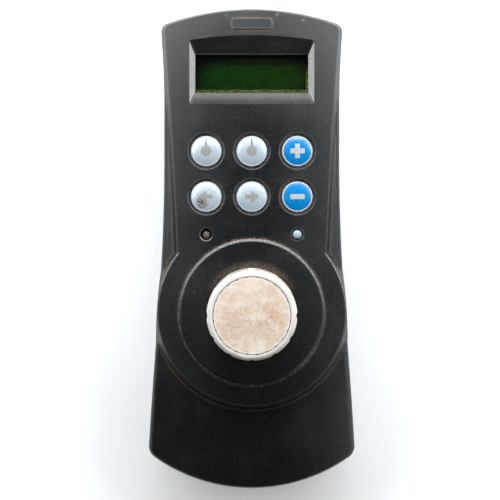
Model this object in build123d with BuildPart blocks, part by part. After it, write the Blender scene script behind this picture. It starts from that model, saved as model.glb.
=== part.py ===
from build123d import *
import math
import os

os.makedirs("parts", exist_ok=True)

# The controller lies on its back. +Z points out of the panel, +Y towards the display, X across the panel.
# The origin is the centre of the flat back. All sizes are in millimetres.

# ---------------------------------------------------------------- driving dimensions
# housing
half_length = 102.6          # the housing runs from -half_length to +half_length along Y
neck_half = 37.2             # half width beside the keys
neck_top_y = 71.5
neck_bottom_y = 41.5
head_arc_r = 115.5           # bow of the display end
tail_arc_r = 72.0            # bow of the grip end
brow_r = 140.0               # the display end widens along this radius
brow_flare = 3.6             # up to this angle, in degrees
hip_r = 860.0                # the flank swings out along this radius
grip_flare = 4.83            # then runs straight at this angle to the axis, in degrees
head_corner_r = 3.0
tail_corner_r = 6.0
edge_r = 2.4                 # rounding of the long outer edges
wall = 2.4
split_z = 19.0               # where the two covers meet
top_wall = 2.5
shadow_gap = 0.5             # groove around the joint of the covers
bite = 1.2                   # joined shapes are carried this far into each other
overrun = 20.0               # cutting shapes run this far past what they cut

# top surface of the housing, a shallow barrel that falls away along the grip
crown_z = 34.2
crown_r = 400.0
grip_start_y = -14.5
grip_fall_r = 379.0

# raised keyhole panel: a tapering field and a disc around the knob
panel_z = 36.0
panel_head = (36.2, 94.4)
panel_mid = (33.3, 47.0)
panel_foot = (31.0, -2.5)
panel_head_y = 101.2
panel_draft = 28.0
panel_edge_r = 0.7
panel_corner_r = 2.0
panel_inset = 4.0            # the hollow under the panel stops this far inside its outline
disc_r = 39.4
disc_side_r = 39.65          # the disc bulges this far where it meets the sides of the housing
disc_foot_z = 3.0            # the bulge starts this far above the back
knob_y = -24.7
platform_r = 30.5
platform_top_r = 29.3
platform_shoulder_z = 36.5   # the platform slopes from here to its top
platform_z = 37.2
platform_edge_r = 0.3
badge_size = (17.0, 4.6)
badge_y = 95.6
badge_t = 0.45
badge_corner_r = 1.2
badge_edge_r = 0.2

# display
display_y = 75.4
window_w = 47.7
window_h = 16.2
window_corner_r = 0.8
window_frame = (58.0, 27.0)  # thickened area behind the recess
recess_half = 26.1
recess_bottom_y = 62.0
recess_corner_y = 88.7
recess_top_y = 90.8
recess_corner_r = 1.2
recess_z = 33.0
lens_w = 52.0
lens_h = 20.4
lens_t = 1.5
lens_gap = 0.2
lens_z = 30.5
lcd_board_w = 55.6
lcd_board_h = 31.0
lcd_board_z = 20.4
board_t = 1.6
bezel_w = 52.4
bezel_h = 22.0
bezel_t = 0.6
bezel_top_z = 29.5
bezel_opening = (48.6, 17.0)
gasket_opening = (49.4, 17.8)
backlight_t = 4.0
glass_t = 2.8
header_count = 14
header_pitch = 2.54
lcd_fixing = (24.9, 13.6)    # the module's screws stand this far from its centre
lcd_screw_r = 1.0
lcd_hole_r = 1.1

# keys, on a 19.05 mm keyboard pitch
key_pitch = 19.05
key_row_y = (42.4, 23.35)
key_r = 6.35
key_gap = 0.3
key_sink_r = 7.4             # round well that each key stands in
key_sink_z = 34.3
key_lip_r = 0.45
key_flange_r = 7.3
key_flange_z = 32.2
key_flange_t = 1.2
key_rim_z = 35.7
key_face_r = 5.75
key_crown_z = 36.8
key_stem_r = 3.3
key_rim_r = 0.3              # rounding of the rim around the face
key_inlay_t = 0.8            # the face is let in this deep
key_sleeve_l = 3.2           # the guiding sleeve reaches this far below the flange
key_sleeve_wall = 1.5

# main board and what stands on it
board_z = 15.4
board_top_z = board_z + board_t
switch_side = 12.0
switch_body_t = 3.6
plunger_top_z = board_top_z + 7.3
plunger_r = 3.4
plunger_foot = 2.2           # the plunger starts this far above the board
slide_gap = 0.15
switch_cover_t = 0.4
pin_l = 1.4                  # pins stick out this far under the board
pin_hole_r = 0.45
chip_side = 14.0
chip_t = 1.5
chip_y = 30.0
chip_lead_pitch = 0.8
chip_leads = 15              # on each side
chip_lead = (1.4, 0.35, 0.2)
regulator_place = (18.0, -52.0)
regulator_size = (10.2, 9.0, 4.5)
capacitor_r = 4.0
capacitor_h = 10.0
capacitor_places = [(-22.0, -55.0), (-11.0, -55.0)]

# indicator LEDs
led_x = 19.05
led_y = 7.6
led_r = 2.1
led_hole_r = 2.4
led_hole_chamfer = 0.4
led_flange = 0.5
led_lead_spacing = 2.54
led_top_z = {"led_left": 34.9, "led_right": 36.1}
led_height = 8.0

# rotary encoder and knob
shaft_r = 3.175
bushing_r = 4.75
encoder_side = 22.0
encoder_z = 18.6
encoder_face_z = 29.3
well_r = 13.0
well_floor_z = 31.5
well_wall = 2.2
plate_t = 1.2
bushing_l = 7.0
washer_r = 7.0
washer_t = 0.6
nut_flat_r = 6.35
nut_t = 2.3
shaft_foot_z = 22.0
shaft_collar = (4.4, 26.2, 1.2)    # radius, height of its underside, thickness
shaft_top_z = 50.5
knob_r = 18.35
knob_bottom_z = 37.6
knob_top_z = 54.7
knob_face_r = 15.3
flute_count = 12
flute_r = 2.2                # each flute is cut by a round this size
flute_sink = 1.3             # whose centre lies this far outside the knob
knob_grip_z = 41.0           # the flutes start here
knob_grip_r = 17.95          # radius at the top of the grip
knob_crown_r = 1.9           # rounding of the top rim
cap_floor_z = 51.7
cap_notches = 24
collet_r = 5.2
collet_neck_r = 4.0
collet_foot_z = 38.6
collet_shoulder_z = 49.4
collet_slot = 0.8
collet_nut_flat_r = 5.5
collet_nut_t = 2.2

# rear connector, bracket pattern and fasteners
connector_z = 9.1
connector_wall_y = -93.5
notch_half = 17.5
notch_top_z = 15.0
jack_spacing = 24.99
jack_hex_l = 5.0
jack_hole_r = 1.42
jack_flat_r = 2.4
jack_thread_r = 1.4
jack_thread_l = 7.0
jack_clearance_r = 1.55
connector_opening = (17.6, 9.0)
shell_size = (16.9, 8.3)
shell_l = 5.8
shell_t = 0.4
flange_t = 0.8
flange_size = (30.8, 12.4)
connector_pitch = 2.77
connector_row = 1.42
tail_rows = [(-84.5, 5), (-87.0, 4)]
bracket_spacing_x = 30.2
bracket_spacing_y = 38.1
bracket_y = 3.5
bracket_screw_r = 2.0
bracket_insert_r = 2.8
housing_screws = [(31.3, 91.1), (31.3, 13.5), (37.2, -78.0)]
board_screws = [(30.6, 55.5), (31.6, -5.5), (34.0, -60.5)]

boss_r = 3.2
post_r = 4.4                 # posts standing in the rear cover
housing_screw_r = 1.5
housing_screw_l = 21.0
screw_head_r = 2.75
screw_head_t = 2.0
screw_socket_r = 1.3
head_hole_r = 3.2
head_sink = 3.2
insert_r = 2.1
insert_h = 6.0
bracket_insert_h = 6.0
board_boss_r = 2.6
board_screw_r = 1.25
board_screw_l = 6.0
board_head_r = 2.3
board_head_t = 1.8
board_length = 181.5
post_clearance_r = 5.0       # the board is cut away around the rear posts
board_end_y = -89.3
seal_h = 0.7
seal_inset = 0.9             # the channel for the seal runs this far inside the outline
seal_w = 0.8
seal_gap = 0.05
label_w = 46.0
label_h = 26.0
label_y = -52.5
label_gap = 0.3
label_recess = 0.35
label_t = 0.2

STANDING = (Align.CENTER, Align.CENTER, Align.MIN)
HANGING = (Align.CENTER, Align.CENTER, Align.MAX)

keys = {
    "pointer_left": (-key_pitch, key_row_y[0]),
    "pointer_right": (0.0, key_row_y[0]),
    "plus": (key_pitch, key_row_y[0]),
    "arrow_left": (-key_pitch, key_row_y[1]),
    "arrow_right": (0.0, key_row_y[1]),
    "minus": (key_pitch, key_row_y[1]),
}


def both_sides(points):
    """Each point and its mirror image across the YZ plane."""
    return [(side * x, y) for x, y in points for side in (-1, 1)]


def upright(x, y):
    """A plane through (x, y) whose sketch axes are X and Z, for turned profiles."""
    return Plane(origin=(x, y, 0), x_dir=(1, 0, 0), z_dir=(0, -1, 0))


def spindle(x, y):
    """The vertical axis through (x, y)."""
    return Axis((x, y, 0), (0, 0, 1))


def save(piece, name):
    """Label a finished piece and write it."""
    piece.part.label = name
    export_step(piece.part, f"parts/{name}.step")


def post(x, y, z, radius, height, mode=Mode.ADD):
    """A round post standing at (x, y, z)."""
    with Locations((x, y, z)):
        Cylinder(radius, height, align=STANDING, mode=mode)


def block(x, y, z, size, mode=Mode.ADD):
    """A block standing at (x, y, z)."""
    with Locations((x, y, z)):
        Box(*size, align=STANDING, mode=mode)


# ---------------------------------------------------------------- outlines used by both covers
def housing_plan(inset=0.0):
    """The outline of the housing, or a parallel outline that far inside it."""
    with BuildSketch() as tail_zone:
        with Locations((0, tail_arc_r - half_length)):
            Circle(tail_arc_r - inset)
            Rectangle(2 * (tail_arc_r - inset), 2 * half_length, align=(Align.CENTER, Align.MIN))
    with BuildSketch() as outline:
        with BuildLine():
            neck = Line((neck_half - inset, neck_top_y), (neck_half - inset, neck_bottom_y))
            hip = JernArc(neck @ 1, tangent=(0, -1), radius=hip_r + inset, arc_size=grip_flare)
            grip = Line(hip @ 1, hip @ 1 + (hip % 1) * half_length)
            brow = JernArc(neck @ 0, tangent=(0, 1), radius=brow_r + inset, arc_size=-brow_flare)
            rim = Line(brow @ 1, brow @ 1 + (brow % 1) * half_length)
            mirror([neck, hip, grip, brow, rim], about=Plane.YZ)
            Line((-(rim @ 1).X, (rim @ 1).Y), rim @ 1)
            Line((-(grip @ 1).X, (grip @ 1).Y), grip @ 1)
        make_face()
        with Locations((0, half_length - head_arc_r)):
            Circle(head_arc_r - inset, mode=Mode.INTERSECT)
        add(tail_zone.sketch, mode=Mode.INTERSECT)
        fillet(outline.vertices().group_by(Axis.Y)[-1], max(head_corner_r - inset, 0.5))
        fillet(outline.vertices().group_by(Axis.Y)[0], tail_corner_r - inset)
    return outline.sketch


with BuildSketch() as panel_plan:
    with BuildLine():
        ThreePointArc((-panel_head[0], panel_head[1]), (0, panel_head_y), panel_head)
        panel_side = ThreePointArc(panel_head, panel_mid, panel_foot)
        mirror(panel_side, about=Plane.YZ)
        Line(panel_foot, (-panel_foot[0], panel_foot[1]))
    make_face()
    fillet(panel_plan.vertices().group_by(Axis.Y)[-1], panel_corner_r)


def barrel_profile(drop):
    """Half section of the barrel-shaped top, drawn on the far side of its axis so its seam lies there."""
    axis_z = crown_z - crown_r
    level = axis_z - (crown_r - drop)
    end_y = -half_length - overrun
    run = grip_start_y - end_y
    fall_r = grip_fall_r - drop
    fall = fall_r - math.sqrt(fall_r**2 - run**2)
    with BuildSketch() as profile:
        with BuildLine():
            Polyline(
                (end_y, level + fall), (end_y, axis_z), (half_length + overrun, axis_z),
                (half_length + overrun, level), (grip_start_y, level),
            )
            TangentArc((grip_start_y, level), (end_y, level + fall), tangent=(-1, 0))
        make_face()
    return profile.sketch


crown_axis = Axis((0, 0, crown_z - crown_r), (0, 1, 0))


def crown_height(x, y):
    """Height of the barrel-shaped top above the back at (x, y)."""
    run = max(0.0, grip_start_y - y)
    return crown_z - x**2 / (2 * crown_r) - run**2 / (2 * grip_fall_r)


def top_rim(part):
    """The edges where the crowned top meets the sides."""
    tops = part.faces().filter_by(lambda f: f.normal_at(f.center()).Z > 0.7)
    return [
        edge for edge in tops.edges()
        if sum(any(edge.is_same(other) for other in face.edges()) for face in tops) == 1
    ]


# ---------------------------------------------------------------- front cover
raised_depth = panel_z - split_z
disc_foot_r = disc_r + raised_depth * math.tan(math.radians(panel_draft))

with BuildPart() as crowned_block:
    with BuildSketch(Plane.XY.offset(split_z)):
        add(housing_plan())
    extrude(amount=raised_depth)
    with BuildSketch(Plane.YZ):
        add(barrel_profile(0))
    revolve(axis=crown_axis, mode=Mode.INTERSECT)
    fillet(top_rim(crowned_block.part), edge_r)

with BuildPart() as cavity:
    with BuildSketch(Plane.XY.offset(split_z)):
        add(housing_plan(wall))
    extrude(amount=raised_depth)
    with BuildSketch(Plane.YZ):
        add(barrel_profile(top_wall))
    revolve(axis=crown_axis, mode=Mode.INTERSECT)

with BuildPart() as panel_field:
    with BuildSketch(Plane.XY.offset(panel_z)):
        add(panel_plan.sketch)
    extrude(amount=raised_depth, dir=(0, 0, -1), taper=-panel_draft)
    fillet(panel_field.faces().sort_by(Axis.Z)[-1].edges(), panel_edge_r)

with BuildPart() as housing_prism:
    with BuildSketch(Plane.XY.offset(split_z)):
        add(housing_plan())
    extrude(amount=raised_depth)
    post(0, knob_y, split_z, disc_side_r, raised_depth)

with BuildPart() as raised_panel:
    with Locations((0, knob_y, panel_z)):
        Cone(disc_foot_r, disc_r, raised_depth, align=HANGING)
    fillet(raised_panel.faces().sort_by(Axis.Z)[-1].edges(), panel_edge_r)
    add(panel_field.part)
    add(housing_prism.part, mode=Mode.INTERSECT)

with BuildPart() as platform:
    with BuildSketch(upright(0, knob_y)) as platform_profile:
        with BuildLine():
            Polyline(
                (0, panel_z - bite), (platform_r, panel_z - bite), (platform_r, platform_shoulder_z),
                (platform_top_r, platform_z), (0, platform_z), close=True,
            )
        make_face()
        shoulders = platform_profile.vertices().filter_by(lambda v: v.X > 0 and v.Z > panel_z)
        fillet(shoulders, platform_edge_r)
    revolve(axis=spindle(0, knob_y))

with BuildPart() as badge:
    with BuildSketch(Plane.XY.offset(panel_z - bite)):
        with Locations((0, badge_y)):
            RectangleRounded(*badge_size, badge_corner_r)
    extrude(amount=badge_t + bite)
    fillet(badge.edges().group_by(Axis.Z)[-1], badge_edge_r)

hollow_head = (panel_head[0] - panel_inset, panel_head[1] - panel_inset)
hollow_foot_x = panel_foot[0] - panel_inset
ceiling_z = panel_z - top_wall
sleeve_foot_z = key_flange_z - key_sleeve_l
sink_mouth_r = key_sink_r + key_lip_r

with BuildPart() as front_cover:
    add(crowned_block.part)
    add(raised_panel.part)
    add(platform.part)
    add(badge.part)
    # hollow inside
    add(cavity.part, mode=Mode.SUBTRACT)
    with BuildSketch(Plane.XY.offset(split_z)):
        with BuildLine():
            Polyline(
                (-hollow_head[0], hollow_head[1]), hollow_head,
                (hollow_foot_x, knob_y), (-hollow_foot_x, knob_y), close=True,
            )
        make_face()
        with Locations((0, knob_y)):
            Circle(disc_r - panel_inset)
    extrude(amount=ceiling_z - split_z, mode=Mode.SUBTRACT)
    # thick frame behind the display recess
    block(0, display_y, lens_z, (*window_frame, ceiling_z - lens_z + bite))
    block(0, display_y, lens_z, (lens_w + 2 * lens_gap, lens_h + 2 * lens_gap, lens_t), mode=Mode.SUBTRACT)
    block(0, display_y, lens_z, (window_w, window_h, overrun), mode=Mode.SUBTRACT)
    with BuildSketch(Plane.XY.offset(recess_z)) as recess_floor:
        with Locations((0, display_y)):
            RectangleRounded(window_w, window_h, window_corner_r)
    with BuildSketch(Plane.XY.offset(panel_z)) as recess_mouth:
        with BuildLine():
            ThreePointArc((-recess_half, recess_corner_y), (0, recess_top_y), (recess_half, recess_corner_y))
            Polyline(
                (recess_half, recess_corner_y), (recess_half, recess_bottom_y),
                (-recess_half, recess_bottom_y), (-recess_half, recess_corner_y),
            )
        make_face()
        fillet(recess_mouth.vertices(), recess_corner_r)
    loft(mode=Mode.SUBTRACT)
    # cup under the knob that carries the encoder
    post(0, knob_y, encoder_face_z, well_r + well_wall, ceiling_z + bite - encoder_face_z)
    post(0, knob_y, well_floor_z, well_r, overrun, mode=Mode.SUBTRACT)
    post(0, knob_y, split_z, bushing_r + slide_gap, overrun, mode=Mode.SUBTRACT)
    # sleeves that guide the keys
    for x, y in keys.values():
        post(x, y, sleeve_foot_z, key_flange_r + key_sleeve_wall, ceiling_z + bite - sleeve_foot_z)
    for x, y in keys.values():
        post(x, y, split_z, key_flange_r + key_gap, ceiling_z - split_z, mode=Mode.SUBTRACT)
        post(x, y, split_z, key_r + key_gap, overrun, mode=Mode.SUBTRACT)
        with BuildSketch(upright(x, y)):
            with BuildLine():
                Polyline(
                    (key_sink_r, panel_z - key_lip_r), (key_sink_r, key_sink_z), (0, key_sink_z),
                    (0, panel_z + bite), (sink_mouth_r, panel_z + bite), (sink_mouth_r, panel_z),
                )
                RadiusArc((sink_mouth_r, panel_z), (key_sink_r, panel_z - key_lip_r), -key_lip_r)
            make_face()
        revolve(axis=spindle(x, y), mode=Mode.SUBTRACT)
    # LED holes with a light chamfer
    for side in (-1, 1):
        post(side * led_x, led_y, split_z, led_hole_r, overrun, mode=Mode.SUBTRACT)
        with Locations((side * led_x, led_y, panel_z)):
            Cone(led_hole_r, led_hole_r + led_hole_chamfer, led_hole_chamfer, align=HANGING, mode=Mode.SUBTRACT)
    # bosses for the housing screws and the board screws, hanging from the top
    for x, y in both_sides(housing_screws):
        post(x, y, split_z, boss_r, crown_height(x, y) - bite - split_z)
    for x, y in both_sides(board_screws):
        post(x, y, board_top_z, board_boss_r, crown_height(x, y) - bite - board_top_z)
    for x, y in both_sides(housing_screws):
        post(x, y, split_z, insert_r + 0.05, insert_h + 0.6, mode=Mode.SUBTRACT)
    for x, y in both_sides(board_screws):
        post(x, y, board_top_z, board_screw_r + 0.02, 5.5, mode=Mode.SUBTRACT)
save(front_cover, "front_cover")

# ---------------------------------------------------------------- rear cover
inner_wall_y = connector_wall_y + wall
jack_places = [(side * jack_spacing / 2, connector_wall_y, connector_z) for side in (-1, 1)]
bracket_places = [
    (sx * bracket_spacing_x / 2, bracket_y + sy * bracket_spacing_y / 2) for sx in (-1, 1) for sy in (-1, 1)
]

with BuildPart() as rear_cover:
    with BuildSketch():
        add(housing_plan())
    extrude(amount=split_z)
    fillet(rear_cover.faces().sort_by(Axis.Z)[0].edges(), edge_r)
    post(0, knob_y, disc_foot_z, disc_side_r, split_z - disc_foot_z)
    # inside
    with BuildSketch(Plane.XY.offset(wall)):
        add(housing_plan(wall))
    extrude(amount=split_z - wall, mode=Mode.SUBTRACT)
    # walls around the connector notch at the tail
    with BuildSketch(Plane.XY.offset(bite)):
        with Locations((0, inner_wall_y)):
            Rectangle(2 * (notch_half + wall), overrun, align=(Align.CENTER, Align.MAX))
        add(housing_plan(wall), mode=Mode.INTERSECT)
    extrude(amount=split_z - bite)
    with Locations((0, connector_wall_y, 0)):
        Box(
            2 * notch_half, overrun, 2 * notch_top_z,
            align=(Align.CENTER, Align.MAX, Align.CENTER), mode=Mode.SUBTRACT,
        )
    # groove under the joint
    with BuildSketch(Plane.XY.offset(split_z - shadow_gap)):
        Rectangle(2 * half_length, 3 * half_length)
        add(housing_plan(shadow_gap), mode=Mode.SUBTRACT)
        with Locations((0, knob_y)):
            Circle(disc_side_r - shadow_gap, mode=Mode.SUBTRACT)
    extrude(amount=shadow_gap, mode=Mode.SUBTRACT)
    # posts for the housing screws, with sunk heads, then the channel for the seal
    for x, y in both_sides(housing_screws):
        post(x, y, bite, post_r, split_z - bite)
        post(x, y, 0, housing_screw_r + 0.2, split_z, mode=Mode.SUBTRACT)
        post(x, y, 0, head_hole_r, head_sink, mode=Mode.SUBTRACT)
    with BuildSketch(Plane.XY.offset(split_z - seal_h)):
        add(housing_plan(seal_inset))
        add(housing_plan(seal_inset + seal_w), mode=Mode.SUBTRACT)
    extrude(amount=seal_h, mode=Mode.SUBTRACT)
    # bosses for the bracket inserts
    for x, y in bracket_places:
        post(x, y, bite, post_r, bracket_insert_h + wall - bite)
        post(x, y, 0, bracket_insert_r + 0.05, bracket_insert_h + 0.2, mode=Mode.SUBTRACT)
    # openings for the connector and its jackscrews
    with Locations((0, connector_wall_y, connector_z)):
        Box(connector_opening[0], 5 * wall, connector_opening[1], mode=Mode.SUBTRACT)
    for place in jack_places:
        with Locations(Location(place, (90, 0, 0))):
            Cylinder(jack_clearance_r, 5 * wall, mode=Mode.SUBTRACT)
    # recess for the rating label
    block(0, label_y, 0, (label_w + 2 * label_gap, label_h + 2 * label_gap, label_recess), mode=Mode.SUBTRACT)
save(rear_cover, "rear_cover")

with BuildPart() as housing_seal:
    with BuildSketch(Plane.XY.offset(split_z - seal_h)):
        add(housing_plan(seal_inset + seal_gap))
        add(housing_plan(seal_inset + seal_w - seal_gap), mode=Mode.SUBTRACT)
    extrude(amount=seal_h)
save(housing_seal, "housing_seal")

with BuildPart() as rear_label:
    with BuildSketch(Plane.XY.offset(label_recess - label_t)):
        with Locations((0, label_y)):
            RectangleRounded(label_w, label_h, 1.5)
    extrude(amount=label_t)
save(rear_label, "rear_label")

# ---------------------------------------------------------------- fasteners
with BuildPart() as housing_screw_set:
    for x, y in both_sides(housing_screws):
        post(x, y, head_sink - screw_head_t, screw_head_r, screw_head_t)
        post(x, y, head_sink, housing_screw_r, housing_screw_l)
        post(x, y, head_sink - screw_head_t, screw_socket_r, 0.6 * screw_head_t, mode=Mode.SUBTRACT)
save(housing_screw_set, "housing_screws")

with BuildPart() as cover_inserts:
    for x, y in both_sides(housing_screws):
        post(x, y, split_z, insert_r, insert_h)
        post(x, y, split_z, housing_screw_r + 0.03, insert_h, mode=Mode.SUBTRACT)
save(cover_inserts, "cover_inserts")

with BuildPart() as bracket_inserts:
    for x, y in bracket_places:
        post(x, y, 0, bracket_insert_r, bracket_insert_h)
        post(x, y, 0, bracket_screw_r, bracket_insert_h, mode=Mode.SUBTRACT)
save(bracket_inserts, "bracket_inserts")

with BuildPart() as board_screw_set:
    for x, y in both_sides(board_screws):
        post(x, y, board_z - board_head_t, board_head_r, board_head_t)
        post(x, y, board_z, board_screw_r, board_screw_l)
        post(x, y, board_z - board_head_t, 0.4 * board_head_r, 0.6 * board_head_t, mode=Mode.SUBTRACT)
save(board_screw_set, "board_screws")

# ---------------------------------------------------------------- main board and the parts on it
header_y = display_y - 14.2
header_pins = [(header_pitch * (i - (header_count - 1) / 2), header_y) for i in range(header_count)]
lcd_corners = both_sides([(lcd_fixing[0], display_y + side * lcd_fixing[1]) for side in (-1, 1)])
encoder_pins = [(5.08 * i, knob_y + 3.81 * j) for i in (-1, 0, 1) for j in (-1, 1)]
led_lead_places = both_sides([(led_x + side * led_lead_spacing / 2, led_y) for side in (-1, 1)])
connector_tails = [(connector_pitch * (i - (count - 1) / 2), y) for y, count in tail_rows for i in range(count)]

with BuildPart() as main_board:
    with BuildSketch(Plane.XY.offset(board_z)):
        add(housing_plan(wall + 0.6))
        with Locations((0, board_end_y)):
            Rectangle(2 * half_length, board_length, align=(Align.CENTER, Align.MIN), mode=Mode.INTERSECT)
        with Locations(*both_sides(housing_screws)):
            Circle(post_clearance_r, mode=Mode.SUBTRACT)
        with Locations(*both_sides(board_screws)):
            Circle(board_screw_r + 0.1, mode=Mode.SUBTRACT)
        with Locations(*header_pins, *encoder_pins, *led_lead_places, *connector_tails):
            Circle(pin_hole_r, mode=Mode.SUBTRACT)
        with Locations(*lcd_corners):
            Circle(lcd_hole_r, mode=Mode.SUBTRACT)
    extrude(amount=board_t)
save(main_board, "main_board")

with BuildPart() as microcontroller:
    block(0, chip_y, board_z - chip_t - 0.1, (chip_side, chip_side, chip_t))
    chamfer(microcontroller.edges().filter_by(Axis.Z), 0.6)
    lead_l, lead_w, lead_t = chip_lead
    reach = (chip_side + 1.6) / 2
    for step in [chip_lead_pitch * (i - (chip_leads - 1) / 2) for i in range(chip_leads)]:
        for side in (-1, 1):
            block(side * reach, chip_y + step, board_z - lead_t, (lead_l, lead_w, lead_t))
            block(step, chip_y + side * reach, board_z - lead_t, (lead_w, lead_l, lead_t))
save(microcontroller, "microcontroller")

with BuildPart() as voltage_regulator:
    x, y = regulator_place
    width, depth, height = regulator_size
    block(x, y, board_z - height, regulator_size)
    block(x, y + depth / 2 + 1.0, board_z - 1.3, (width, 2.0, 1.3))
save(voltage_regulator, "voltage_regulator")

with BuildPart() as filter_capacitors:
    for x, y in capacitor_places:
        post(x, y, board_z - capacitor_h, capacitor_r, capacitor_h)
    fillet(filter_capacitors.edges().group_by(Axis.Z)[0], 0.5)
save(filter_capacitors, "filter_capacitors")

# ---------------------------------------------------------------- display module
with BuildPart() as window_lens:
    with BuildSketch(Plane.XY.offset(lens_z)):
        with Locations((0, display_y)):
            RectangleRounded(lens_w, lens_h, 1.0)
    extrude(amount=lens_t)
save(window_lens, "window_lens")

with BuildPart() as lcd_gasket:
    block(0, display_y, bezel_top_z, (lens_w, lens_h + 1.0, lens_z - bezel_top_z))
    block(0, display_y, bezel_top_z, (*gasket_opening, lens_z - bezel_top_z), mode=Mode.SUBTRACT)
save(lcd_gasket, "lcd_gasket")

lcd_top_z = lcd_board_z + board_t
with BuildPart() as lcd_bezel:
    block(0, display_y, lcd_top_z, (bezel_w, bezel_h, bezel_top_z - lcd_top_z))
    chamfer(lcd_bezel.edges().group_by(Axis.Z)[-1], 0.3)
    inside = (bezel_w - 2 * bezel_t, bezel_h - 2 * bezel_t, bezel_top_z - bezel_t - lcd_top_z)
    block(0, display_y, lcd_top_z, inside, mode=Mode.SUBTRACT)
    block(0, display_y, lcd_top_z, (*bezel_opening, overrun), mode=Mode.SUBTRACT)
save(lcd_bezel, "lcd_bezel")

with BuildPart() as lcd_backlight:
    block(0, display_y, lcd_top_z, (bezel_w - 1.6, bezel_h - 1.6, backlight_t))
save(lcd_backlight, "lcd_backlight")

with BuildPart() as lcd_glass:
    block(0, display_y, lcd_top_z + backlight_t, (bezel_w - 1.6, bezel_h - 1.6, glass_t))
save(lcd_glass, "lcd_glass")

with BuildPart() as lcd_board:
    with BuildSketch(Plane.XY.offset(lcd_board_z)):
        with Locations((0, display_y)):
            RectangleRounded(lcd_board_w, lcd_board_h, 1.0)
        with Locations(*lcd_corners):
            Circle(lcd_hole_r, mode=Mode.SUBTRACT)
        with Locations(*header_pins):
            Circle(pin_hole_r, mode=Mode.SUBTRACT)
    extrude(amount=board_t)
save(lcd_board, "lcd_board")

with BuildPart() as lcd_spacers:
    for x, y in lcd_corners:
        post(x, y, board_top_z, 2.0, lcd_board_z - board_top_z)
        post(x, y, board_top_z, lcd_screw_r + 0.05, lcd_board_z - board_top_z, mode=Mode.SUBTRACT)
save(lcd_spacers, "lcd_spacers")

with BuildPart() as lcd_screws:
    for x, y in lcd_corners:
        post(x, y, lcd_top_z, 1.8, 1.3)
        post(x, y, board_z - 0.6, lcd_screw_r, lcd_top_z - board_z + 0.6)
        post(x, y, lcd_top_z + 0.7, 0.8, 0.6, mode=Mode.SUBTRACT)
save(lcd_screws, "lcd_screws")

with BuildPart() as lcd_header:
    block(0, header_y, board_top_z, (header_count * header_pitch, 2.4, lcd_board_z - board_top_z))
    for x, y in header_pins:
        post(x, y, board_z - pin_l, 0.32, lcd_top_z - board_z + pin_l + 1.2)
save(lcd_header, "lcd_header")

# ---------------------------------------------------------------- keys and their switches
switch_top_z = board_top_z + switch_body_t
with BuildPart() as switch_bodies:
    for x, y in keys.values():
        block(x, y, board_top_z, (switch_side, switch_side, switch_body_t))
        post(x, y, board_top_z + 1.0, plunger_r + slide_gap, switch_body_t, mode=Mode.SUBTRACT)
save(switch_bodies, "switch_bodies")

with BuildPart() as switch_covers:
    for x, y in keys.values():
        block(x, y, switch_top_z, (switch_side - 0.6, switch_side - 0.6, switch_cover_t))
        post(x, y, switch_top_z, plunger_r + slide_gap, switch_cover_t, mode=Mode.SUBTRACT)
save(switch_covers, "switch_covers")

with BuildPart() as switch_terminals:
    for x, y in keys.values():
        for step_x, step_y in both_sides([(7.0, -2.5), (7.0, 2.5)]):
            block(x + step_x, y + step_y, board_top_z, (2.0, 1.0, 0.3))
save(switch_terminals, "switch_terminals")


def key_cap(x, y):
    """A round cap with a rim around its face, a flange under the cover and a stem down to the switch."""
    flange_top_z = key_flange_z + key_flange_t
    seat_r = key_face_r + 0.05
    seat_z = key_rim_z - key_inlay_t
    with BuildPart() as cap:
        with BuildSketch(upright(x, y)):
            with BuildLine():
                Polyline(
                    (0, plunger_top_z), (key_stem_r, plunger_top_z), (key_stem_r, key_flange_z),
                    (key_flange_r, key_flange_z), (key_flange_r, flange_top_z), (key_r, flange_top_z),
                    (key_r, key_rim_z - key_rim_r),
                )
                RadiusArc((key_r, key_rim_z - key_rim_r), (key_r - key_rim_r, key_rim_z), -key_rim_r)
                Polyline(
                    (key_r - key_rim_r, key_rim_z), (seat_r, key_rim_z), (seat_r, seat_z),
                    (0, seat_z), (0, plunger_top_z),
                )
            make_face()
        revolve(axis=spindle(x, y))
    return cap


def key_face(x, y):
    """The coloured domed disc set into a key cap."""
    with BuildPart() as face:
        with BuildSketch(upright(x, y)):
            with BuildLine():
                Polyline(
                    (0, key_crown_z), (0, key_rim_z - key_inlay_t), (key_face_r, key_rim_z - key_inlay_t),
                    (key_face_r, key_rim_z + 0.05),
                )
                TangentArc((0, key_crown_z), (key_face_r, key_rim_z + 0.05), tangent=(1, 0))
            make_face()
        revolve(axis=spindle(x, y))
    return face


for label, (x, y) in keys.items():
    save(key_cap(x, y), f"key_{label}")
    save(key_face(x, y), f"key_face_{label}")
    with BuildPart() as plunger:
        post(x, y, board_top_z + plunger_foot, plunger_r, plunger_top_z - board_top_z - plunger_foot)
    save(plunger, f"plunger_{label}")

# ---------------------------------------------------------------- indicator LEDs
led_places = {"led_left": -led_x, "led_right": led_x}
for label, x in led_places.items():
    top = led_top_z[label]
    with BuildPart() as led:
        post(x, led_y, top - led_height, led_r + led_flange, 1.0)
        post(x, led_y, top - led_height, led_r, led_height)
        fillet(led.edges().group_by(Axis.Z)[-1], led_r - 0.3)
    save(led, label)

with BuildPart() as led_spacers:
    for label, x in led_places.items():
        post(x, led_y, board_top_z, led_r + led_flange, led_top_z[label] - led_height - board_top_z)
    for x, y in led_lead_places:
        post(x, y, board_top_z, 0.4, overrun, mode=Mode.SUBTRACT)
save(led_spacers, "led_spacers")

with BuildPart() as led_leads:
    for x, y in led_lead_places:
        label = "led_left" if x < 0 else "led_right"
        post(x, y, board_z - 1.2, 0.28, led_top_z[label] - led_height - board_z + 1.2)
save(led_leads, "led_leads")

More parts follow.
